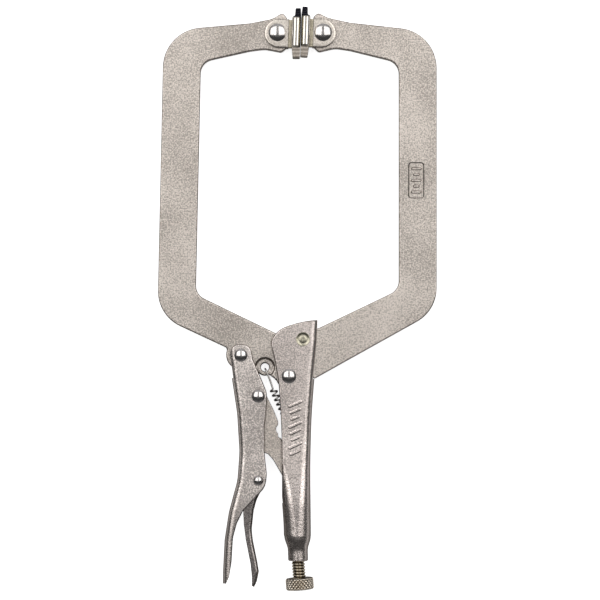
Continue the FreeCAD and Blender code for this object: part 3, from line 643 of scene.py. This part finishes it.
# the curved edge of its cheeks, from the jaw down to the tube
CHEEK_EDGE = ((17.0, -16.7), (9.2, -17.3), (3.2, -18.4), (-2.6, -19.9), (-8.8, -21.9),
              (-13.0, -24.0), (-16.5, -26.8), (-18.9, -30.1), (-20.3, -33.4), (-20.5, -36.8),
              (-19.9, -39.8), (-19.0, -43.0), (-17.7, -49.0), (-16.3, -56.5), (-15.0, -64.7),
              (-13.9, -78.5), (-13.2, -90.0), (-12.7, -100.0), (-12.3, -112.0), (-12.1, -125.0),
              (-12.1, -145.0))
# the room between its cheeks, which leaves the web on its right side
CHANNEL = ((17.0, -2.0), (14.3, -14.0), (13.6, -31.0), (10.8, -62.0), (8.6, -90.0),
           (8.05, -110.0), (7.5, -138.0), (7.5, -150.0), (6.2, -155.5), (2.5, -159.0),
           (-4.0, -160.5), (-40.0, -160.5), (-40.0, -2.0))
# the way in through the web for the arm's tang, and the seam down the left side of the tube
TANG_SLOT = ((5.0, -5.0), (40.0, -5.0), (40.0, -63.2), (5.0, -63.2))
SEAM = ((-16.0, -162.0), (-16.0, -186.0), (-10.45, -186.0), (-11.6, -162.0))
CHANNEL_HALF, SEAM_HALF, BEYOND = 4.2, 0.25, 14.0
# (radius, height) of the screw's bore, and (radius, level) of the flush rivet's countersinks
BORE = ((5.45, -6.0), (5.45, 14.0), (7.4, 18.0), (7.4, 52.0))
FLUSH_PLACE = (4.3, -31.8)
FLUSH_SINK = ((5.52, BEYOND), (5.52, 6.6), (3.6, 4.6), (3.6, -4.6), (5.52, -6.6), (5.52, -BEYOND))


def handle_rings():
    rings = []
    place = GRIP[0][0]
    while place > GRIP[-1][0]:
        rings.append(rounded_ring(place, *between(GRIP, place)))
        place -= 2.5
    for place, radius in NECK:
        axis = NECK_X + (NECK_Y - place) * math.tan(math.radians(NECK_LEAN))
        rings.append(rounded_ring(place, axis - radius, axis + radius, radius, radius))
    return rings


def make_handle():
    """Folded sheet channel with a curved end, closed into a tube with a seam for the screw."""
    around = [(-12.1, -160.3), (-40.0, -160.3), (-40.0, -212.0), (40.0, -212.0), (40.0, -16.0)]
    outline = prism(curved(CHEEK_EDGE, 4) + around, -BEYOND, BEYOND)
    return carve(lofted(handle_rings()), [
        (outline, "INTERSECT"),
        (prism(CHANNEL[::-1], -CHANNEL_HALF, CHANNEL_HALF), "DIFFERENCE"),
        (prism(TANG_SLOT, -CHANNEL_HALF, CHANNEL_HALF), "DIFFERENCE"),
        (lathe(BORE), "DIFFERENCE"),
        (disc_solid(FLUSH_PLACE, FLUSH_SINK, 48), "DIFFERENCE"),
        (prism(SEAM, -SEAM_HALF, SEAM_HALF), "DIFFERENCE")])


def handle_rim(spot):
    """Whether an edge is on the outside of the channel, clear of the tube and the flush rivet."""
    from_rivet = math.hypot(spot.x - FLUSH_PLACE[0], spot.y - FLUSH_PLACE[1])
    return spot.y > -166 and off_middle(spot) > 4.5 and from_rivet > 6.5


def handle_face(x, y):
    return between(GRIP, y)[2]


sheet_piece("fixed_handle_channel", make_handle(), 1.2, "root", "pressed_handle", pressed,
            "fixed_handle", handle_rim)
emboss_bars = [bar((-1.8, -82.6 - 5.4 * k), 12.0 - (k % 3) * 2.0, 2.6, 24) for k in range(8)]
relief("fixed_handle_emboss", emboss_bars, handle_face, 0.4, 0.8, "root", "pressed_handle", pressed)

RELEASE_BACK = ((-25.2, -141.0), (-27.2, -148.0), (-32.1, -158.0), (-34.4, -166.5), (-35.9, -181.5),
                (-34.9, -190.0), (-31.6, -206.0), (-30.3, -214.0), (-31.8, -221.5), (-33.9, -226.0))


def release_cheek(spot):
    return off_middle(spot) > 3.5


def release_back(spot):
    """Whether a spot on the cheeks lies along the folded back of the release lever."""
    for (x0, y0), (x1, y1) in zip(RELEASE_BACK, RELEASE_BACK[1:]):
        start, run = Vector((x0, y0)), Vector((x1 - x0, y1 - y0))
        here = Vector((spot.x, spot.y)) - start
        along = min(1.0, max(0.0, here.dot(run) / run.length_squared))
        if (here - run * along).length < 0.8:
            return release_cheek(spot)
    return False


sheet_piece("lever_handle_channel", plain_copy("lever_handle", 0.05), 1.1, "lever",
            "pressed_handle", lever_steel, "lever_handle",
            lambda spot: off_middle(spot) > 5.2 and spot.y > -212.0)
release = plain_copy("release_lever")
soften(release, 2.4, segments=5, where=release_back)
sheet_piece("release_lever_channel", release, 0.9, "release", "pressed_handle", release_steel,
            "release_lever", release_cheek)
sheet_piece("toggle_link_plate", plain_copy("toggle_link"), 0.7, "link", "toggle_steel", toggle,
            "toggle_link")


# ---------------------------------------------------------------- the rivets

HANDLE_GRIP, LEVER_GRIP, PAD_GRIP = 6.7, 6.2, 6.7
domed_rivet("jaw_pivot_rivet", "root", 5.7, HANDLE_GRIP)
domed_rivet("lever_pivot_rivet", "moving_jaw", 5.2, LEVER_GRIP)
domed_rivet("link_rivet", "lever", 5.2, LEVER_GRIP)
domed_rivet("release_rivet", "lever", 4.1, LEVER_GRIP)
domed_rivet("fixed_pad_rivet", "root", 6.9, PAD_GRIP)
domed_rivet("moving_pad_rivet", "moving_jaw", 6.9, PAD_GRIP)
rivet("fixed_arm_rivet", "root",
      [(0.05, 6.46), (1.5, 6.46), (2.2, 6.40), (2.7, 6.18), (3.1, 6.02), (3.6, 6.02), (4.2, 6.22),
       (4.8, 6.50), (5.2, 6.66), (5.42, 6.69), (5.5, 6.62), (5.5, 6.4), (3.5, 4.7)],
      "rivet_flush", olive)


# ---------------------------------------------------------------- the adjusting screw and its knob

SCREW_LOW, SCREW_TOP, SCREW_RADIUS = -14.3, 48.6, 5.3
PITCH, THREAD_DEEP, TIP_CHAMFER = 2.3, 1.0, 2.0
ROOT_SHARE, FLANK_SHARE = 0.12, 0.76             # of half a turn, the rest being the crest
KNOB_LOW, KNOB_TOP, KNOB_RADIUS, KNOB_CHAMFER = -23.1, -14.1, 11.0, 0.9
DIAMONDS, DIAMOND_SQUASH = 24, 0.9               # round the knob, height against width
GROOVE_DEEP, GROOVE_NARROW, GROOVE_FADE = 0.9, 1.4, 0.5


def thread_radius(angle, height):
    turn = ((height - PITCH * angle / (2 * math.pi)) / PITCH) % 1.0
    tooth = 1.0 - abs(2.0 * turn - 1.0)
    tooth = min(1.0, max(0.0, (tooth - ROOT_SHARE) / FLANK_SHARE))
    tip = max(0.0, height - (SCREW_TOP - TIP_CHAMFER))
    return SCREW_RADIUS - THREAD_DEEP * (1.0 - tooth) - tip


def knob_radius(angle, height):
    inside = min(height - KNOB_LOW, KNOB_TOP - height)
    chamfer = max(0.0, KNOB_CHAMFER - inside)
    across = angle * DIAMONDS / (2 * math.pi)
    along = (height - KNOB_LOW) / (2 * math.pi * KNOB_RADIUS / DIAMONDS) * DIAMOND_SQUASH
    first, second = (abs(turn % 1.0 - 0.5) * 2 for turn in (across + along, across - along))
    groove = max(0.0, 1.0 - min(first, second) * GROOVE_NARROW)
    fade = min(1.0, max(0.0, (inside - GROOVE_FADE) / GROOVE_FADE))
    return KNOB_RADIUS - chamfer - GROOVE_DEEP * groove * fade


screw = turned_grid(spaced(SCREW_LOW, SCREW_TOP, 270), thread_radius, 48)
screw_piece = link("adjusting_screw_thread", finished_mesh(screw, "adjusting_screw_thread", 80.0))
hold(screw_piece, "screw", "screw_steel", thread_steel, "adjusting_screw")
knob = turned_grid(spaced(KNOB_LOW, KNOB_TOP, 45), knob_radius, 288)
knob_piece = link("screw_knob_knurled", finished_mesh(knob, "screw_knob_knurled", 30.0))
hold(knob_piece, "knob", "screw_steel", knurl_steel, "screw_knob")


# ---------------------------------------------------------------- the spring

COIL_TOP, COIL_END = Vector((-19.3, -71.0, MIDDLE_MM)), Vector((-0.6, -112.0, MIDDLE_MM))
COIL_PITCH, COIL_RADIUS, COIL_STEPS, WIRE_RADIUS = 3.85, 2.3, 18, 0.74
# (x, y, level) along the hook in the moving arm and along the anchor in the handle
HOOK = ((-25.2, -55.4, -1.7), (-25.3, -55.2, 0.6), (-25.0, -55.6, 2.1), (-24.4, -56.8, 2.6),
        (-23.4, -59.2, 2.6), (-22.3, -62.0, 2.5), (-21.1, -65.2, 2.5), (-19.9, -68.8, 2.4))
ANCHOR = ((1.2, -115.6, 0.8), (2.8, -119.2, 0.0), (4.4, -121.2, 0.0), (6.2, -121.7, 0.0),
          (9.2, -121.7, 0.0))


def spring_path():
    """The hook, the coil's turns and the anchor."""
    run = COIL_END - COIL_TOP
    upward = Vector((0, 0, 1))
    beside = run.normalized().cross(upward).normalized()
    turns = run.length / COIL_PITCH
    steps = int(turns * COIL_STEPS)
    coil = []
    for k in range(steps + 1):
        angle = 2 * math.pi * turns * k / steps
        out = upward * math.cos(angle) + beside * math.sin(angle)
        coil.append(COIL_TOP + run * (k / steps) + out * COIL_RADIUS)
    hook, anchor = ([Vector((x, y, MIDDLE_MM + level)) for x, y, level in part]
                    for part in (HOOK, ANCHOR))
    return hook + coil + anchor


spring_mesh = finished_mesh(tube(spring_path(), WIRE_RADIUS), "tension_spring_coil", 60.0)
spring = link("tension_spring_coil", spring_mesh)
spring.data.materials.append(wire_steel)
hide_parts("tension_spring")
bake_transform(spring)


# ---------------------------------------------------------------- the swivel pads

# which way up the pad is, its node and body, its rivet's place, how far its face is from that
PADS = ((-1, "fixed_pad", "fixed_swivel", (20.0, 208.1), 17.2),
        (1, "moving_pad", "moving_swivel", (-15.7, 208.0), 18.15))
PAD_LEAN = 2.0
BARREL_PROUD = 0.06
FLAP_HALF, FLAP_RIM = 9.0, 0.5
# the finishes of a pad's shell, by material number
SATIN, BRIGHT, SHADE_BLACK, TAN = range(4)
SHELL_FINISHES = (pad_satin, pad_bright, pad_shade_black, pad_fold)


def pad_place(side, centre):
    """Carries a pad's (reach from the rivet, height along the pad, level) to metres."""
    turn = math.radians(180.0 - PAD_LEAN if side < 0 else -PAD_LEAN)

    def place(reach, height, level):
        along = height * side
        return Vector(((centre[0] + reach * math.cos(turn) - along * math.sin(turn)) * MM,
                       (centre[1] + reach * math.sin(turn) + along * math.cos(turn)) * MM,
                       MIDDLE + level * MM))
    return place


def pad_flap(name, place, outline, body, finish):
    """A flap at the end of a pad: an outline in (reach, height) carried across the tool."""
    made = lofted([[place(reach, height, level) for reach, height in outline]
                   for level in (-FLAP_HALF, FLAP_HALF)])
    soften(made, FLAP_RIM, 40.0)
    hold(weighted(link(name, finished_mesh(made, name))), body, "pad_steel", finish)


def ear_plate(place, reach, side):
    """One ear of a pad: a rounded plate whose outer rim slopes away like a worn stamping."""
    front, low, high = reach - 9.2, -11.9, 10.7
    outline = [(front, high), (1.3, high)] + arc_points((1.3, -0.6), 11.3, 94, 266, 26)
    outline += [(1.3, low), (front, low)]
    rings = []
    for level, inset in ((4.25, 0.0), (5.7, 0.0), (6.05, 0.12), (6.22, 0.4), (6.7, 2.0)):
        ring = shrunk(outline, inset)
        edge = front - min(inset, 0.5)
        ring[0], ring[-1] = (edge, high - inset), (edge, low + inset)
        rings.append([place(x, height, side * level) for x, height in ring])
    return lofted(rings)


def barrel(place, reach):
    """The rounded block that bears on the work."""
    half_deep, low, high, wide, bend = 3.5, -11.1, 12.3, 12.5, 3.1
    back = reach - 2 * half_deep
    section = []
    for x, z, start in ((reach - bend, wide - bend, 0), (back + bend, wide - bend, 90),
                        (back + bend, bend - wide, 180), (reach - bend, bend - wide, 270)):
        section += arc_points((x, z), bend, start, start + 90, 12)
    centre = reach - half_deep
    rings = []
    for height, scale in ((low, 0.72), (low + 0.25, 0.86), (low + 0.7, 0.96), (low + 1.3, 1.0),
                          (high - 1.3, 1.0), (high - 0.7, 0.96), (high - 0.25, 0.86), (high, 0.72)):
        drawn_in = (1 - scale) * half_deep
        rings.append([place(centre + (x - centre) * scale, height, z - math.copysign(drawn_in, z))
                      for x, z in section])
    return lofted(rings)


def fold(place, reach, side):
    """The strip between an ear and the block, one sheet lower than the ear."""
    back, front, low, high = reach - 9.6, reach - 5.0, -11.2, 10.2
    corners = [(back, high), (back, low), (front, low), (front, high)]
    return lofted([[place(x, height, side * level) for x, height in corners]
                   for level in (4.3, 6.05)])


def joined(name, parts):
    """One mesh from several closed solids, each with its own material number."""
    whole = bmesh.new()
    for number, part in parts:
        for face in part.faces:
            face.material_index = number
        mesh = bpy.data.meshes.new("part")
        part.to_mesh(mesh)
        part.free()
        whole.from_mesh(mesh)
        bpy.data.meshes.remove(mesh)
    return finished_mesh(whole, name)


for side, node, body, centre, reach in PADS:
    place = pad_place(side, centre)
    shell = joined(node + "_shell", [
        (SATIN, ear_plate(place, reach, 1)), (SATIN, ear_plate(place, reach, -1)),
        (BRIGHT, barrel(place, reach + BARREL_PROUD)),
        (TAN, fold(place, reach, 1)), (TAN, fold(place, reach, -1))])
    numbers = [face.material_index for face in shell.polygons]
    hold(weighted(link(node + "_shell", shell)), body, "pad_steel", SHELL_FINISHES[0], node)
    for finish in SHELL_FINISHES[1:]:
        shell.materials.append(finish)
    # the barrel is bright on the outside, tan beside its bearing face, and painted dark on that
    # face as painted shade for the gap between the pads
    face_way = (place(1, 0, 0) - place(0, 0, 0)).normalized()
    for face, number in zip(shell.polygons, numbers):
        ahead = (face.center - place(reach, 0, 0)).dot(face_way) / MM
        if number == BRIGHT and ahead > -1.7:
            number = SHADE_BLACK if ahead > -0.5 else TAN
        face.material_index = number
    # the upper flap is painted near-black as painted shade; the lower flap is the same plate, in
    # tan
    pad_flap(node + "_upper_flap", place, [
        (reach - 7.0, 11.6), (reach - 6.6, 12.5), (reach - 5.2, 13.4), (reach - 4.8, 14.2),
        (reach - 4.6, 19.3), (reach - 0.5, 19.5), (reach, 14.0), (reach, 11.6)], body, pad_shade_black)
    pad_flap(node + "_lower_flap", place, [
        (reach - 6.6, -10.8), (reach, -10.8), (reach, -19.1), (reach - 5.6, -19.3)], body, pad_tan)


# ---------------------------------------------------------------- studio

SOFTBOX_SIZE, SOFTBOX_POWER, SOFTBOX_COLOUR = (2.3, 2.8), 36.0, (1.0, 0.985, 0.965)
SEEN_WORLD, SEEN_FLOOR = 0.86, 0.85              # how bright the camera alone sees them
WHITE = (1.0, 1.0, 1.0, 1.0)


def softbox(name, place, target):
    data = bpy.data.lights.new(name, "AREA")
    data.shape = "RECTANGLE"
    data.size, data.size_y = SOFTBOX_SIZE
    data.energy = SOFTBOX_POWER
    data.color = SOFTBOX_COLOUR
    light = link(name, data)
    light.location = place
    light.rotation_euler = (Vector(target) - Vector(place)).to_track_quat("-Z", "Y").to_euler()
    light.visible_camera = False


def camera_ray(tree):
    return tree.nodes.new("ShaderNodeLightPath").outputs["Is Camera Ray"]


for side, name in ((-1, "softbox_left"), (1, "softbox_right")):
    softbox(name, (side * 1.5, 1.1, 2.0), (side * 1.5, 1.1, 0.0))

# A dim room for the steel to reflect, by direction: lighter right overhead, darker towards the
# handles (-Y), with a pale wall past the pads (+Y) and a faint low one past the handles.
world = bpy.data.worlds.new("studio_world")
bpy.context.scene.world = world
world.use_nodes = True
sky = world.node_tree
heading = axes(sky, coordinates(sky, "Generated"))
overhead = rescale(sky, heading["Z"], 0.12, 0.34, (0.80, 0.97))
darker = rescale(sky, heading["Y"], 0.40, 1.0, (-0.25, 0.05))
far_wall = rescale(sky, heading["Y"], 0.0, 0.42, (0.45, 0.85))
near_wall = compute(sky, "MULTIPLY", rescale(sky, heading["Y"], 0.16, 0.0, (-0.80, -0.45)),
                    rescale(sky, heading["Z"], 1.0, 0.0, (0.42, 0.52)))
room = compute(sky, "MAXIMUM", compute(sky, "MULTIPLY", overhead, darker),
               compute(sky, "MAXIMUM", far_wall, near_wall))
background = sky.nodes["Background"]
background.inputs["Color"].default_value = WHITE
wire(sky, mixed(sky, camera_ray(sky), room, SEEN_WORLD), background.inputs["Strength"])

floor_mat, floor_tree, floor_shader = material("studio_floor_white", metallic=0.0, roughness=0.9)
floor_shader.inputs["Base Color"].default_value = (0.9, 0.9, 0.9, 1.0)
floor_shader.inputs["Specular IOR Level"].default_value = 0.0
floor_shader.inputs["Emission Color"].default_value = WHITE
wire(floor_tree, compute(floor_tree, "MULTIPLY", camera_ray(floor_tree), SEEN_FLOOR),
     floor_shader.inputs["Emission Strength"])
floor_mesh = bpy.data.meshes.new("studio_floor")
floor_mesh.from_pydata([(-3, -3, 0), (3, -3, 0), (3, 3, 0), (-3, 3, 0)], [], [(0, 1, 2, 3)])
floor_mesh.materials.append(floor_mat)
floor = link("studio_floor", floor_mesh)
floor.location.z = -0.0002

# the camera looks straight down, and its picture is FRAME_WIDTH across at the middle plane
FRAME_WIDTH, LENS, SENSOR = 0.4704, 180.0, 36.0
camera_data = bpy.data.cameras.new("camera")
camera_data.lens = LENS
camera_data.sensor_width = SENSOR
camera_data.clip_end = 20.0
camera = link("camera", camera_data)
camera.location = (1.96 * MM, -1.18 * MM, MIDDLE + FRAME_WIDTH * LENS / SENSOR)
bpy.context.scene.camera = camera
bpy.context.scene.view_settings.view_transform = "Standard"
